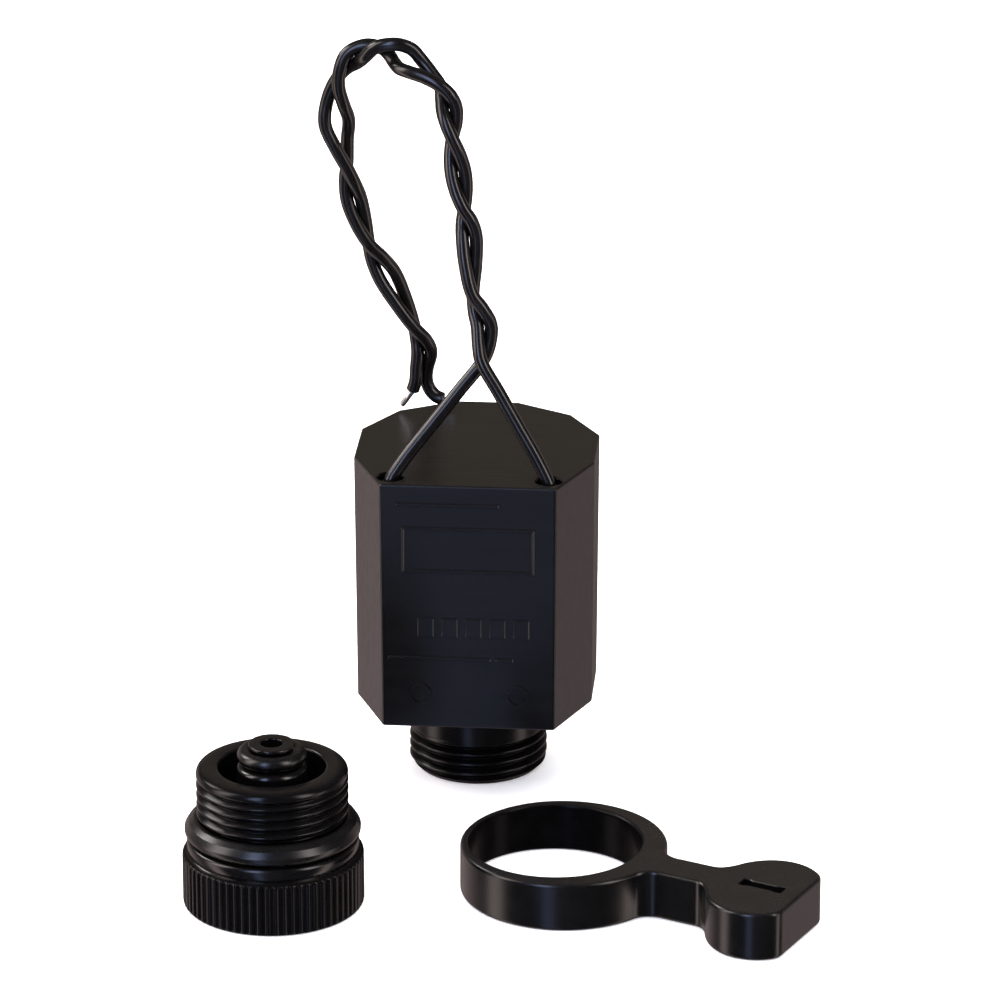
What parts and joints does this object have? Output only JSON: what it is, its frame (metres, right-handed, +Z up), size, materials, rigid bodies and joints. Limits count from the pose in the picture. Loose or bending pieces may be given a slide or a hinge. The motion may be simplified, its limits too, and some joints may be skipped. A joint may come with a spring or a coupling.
{
  "type": "solenoid valve",
  "caption": "Encapsulated solenoid pilot with a threaded neck, sprung plunger and twisted leads, shown with its loose thread adapter and ring-shaped manual bleed lever.",
  "frame": {"origin": "on the axis of the solenoid neck, at the flat surface that the three loose pieces stand on", "axes": "+Z up along the neck and plunger axis; -Y out of the wide front flat of the housing; +X to the right seen from the front"},
  "size_m": [0.0882, 0.0826, 0.1088],
  "materials": {
    "housing_plastic": "fine moulded satin black",
    "former_plastic": "satin black glass-filled",
    "adapter_plastic": "satin black",
    "lever_plastic": "satin black",
    "copper": "enamelled copper wire",
    "coil_tape": "polyester tape",
    "tinned_brass": "tinned",
    "tinned_copper": "tinned strands",
    "plated_steel": "zinc plated",
    "stainless_steel": "turned stainless",
    "seal_rubber": "moulded nitrile",
    "lead_pvc": "glossy black PVC"
  },
  "bodies": {
    "solenoid": {"housing": "housing_plastic", "base_plate": "housing_plastic", "coil_former": "former_plastic", "coil_winding": "copper", "coil_tape": "coil_tape", "terminal_pin_left": "tinned_brass", "terminal_pin_right": "tinned_brass", "yoke_bracket": "plated_steel", "yoke_plate": "plated_steel", "fixed_core": "stainless_steel", "shading_ring": "copper", "core_washer": "plated_steel", "guide_tube": "stainless_steel", "plunger_retainer": "adapter_plastic", "return_spring": "stainless_steel", "lead_wire_left": "lead_pvc", "lead_wire_right": "lead_pvc", "lead_gland_left": "seal_rubber", "lead_gland_right": "seal_rubber", "lead_tip_left": "tinned_copper", "lead_tip_right": "tinned_copper"},
    "plunger": {"plunger": "stainless_steel", "plunger_seal": "seal_rubber"},
    "adapter": {"adapter_body": "adapter_plastic", "adapter_flange_oring": "seal_rubber", "adapter_nozzle_oring": "seal_rubber", "adapter_gasket": "seal_rubber", "adapter_seat": "stainless_steel"},
    "lever": {"bleed_lever": "lever_plastic"}
  },
  "joints": [
    {"name": "plunger_slide", "type": "slide", "parent": "solenoid", "child": "plunger", "axis": [0, 0, 1], "range_m": [0, 0.0022], "stiffness_N_per_m": 120, "springref_m": -0.004, "deforming": ["return_spring"]},
    {"name": "adapter_lift", "type": "slide", "parent": "solenoid", "child": "adapter", "axis": [0, 0, 1], "range_m": [0, 0.06]},
    {"name": "lever_lift", "type": "slide", "parent": "solenoid", "child": "lever", "axis": [0, 0, 1], "range_m": [0, 0.06]}
  ]
}
